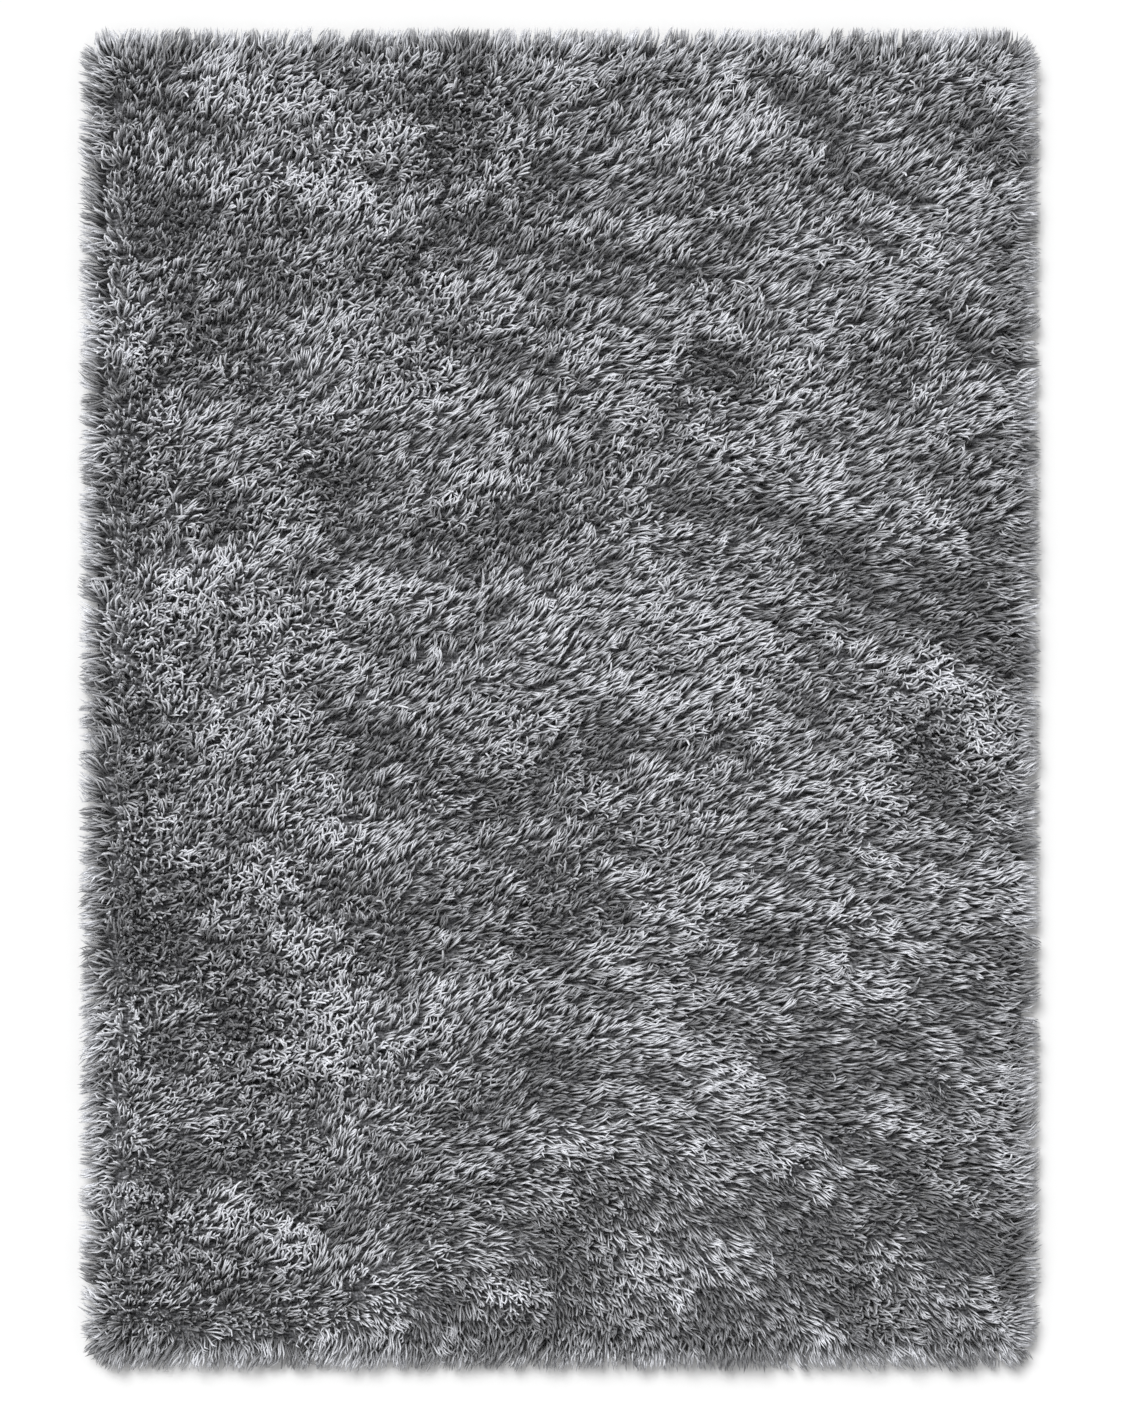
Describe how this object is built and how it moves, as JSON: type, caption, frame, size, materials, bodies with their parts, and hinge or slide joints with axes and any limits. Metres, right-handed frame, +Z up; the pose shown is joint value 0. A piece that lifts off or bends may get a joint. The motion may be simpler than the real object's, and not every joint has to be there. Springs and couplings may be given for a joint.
{
  "type": "shag rug",
  "caption": "Rectangular shag rug with rounded corners: a deep cut pile on a flat woven ground cloth, hanging over its edges all round.",
  "frame": {"origin": "centre of the rug's underside, on the floor", "axes": "+X across the width, +Y along the length, +Z up out of the pile"},
  "size_m": [1.2579, 1.7579, 0.045],
  "materials": {
    "ground_cloth": "undyed plain-woven cloth, matt, hemmed at its edges",
    "pile": "long cool-grey cut yarn with a soft satin sheen, combed into locks"
  },
  "bodies": {
    "root": {"ground_cloth": "ground_cloth", "pile": "pile"}
  },
  "joints": []
}
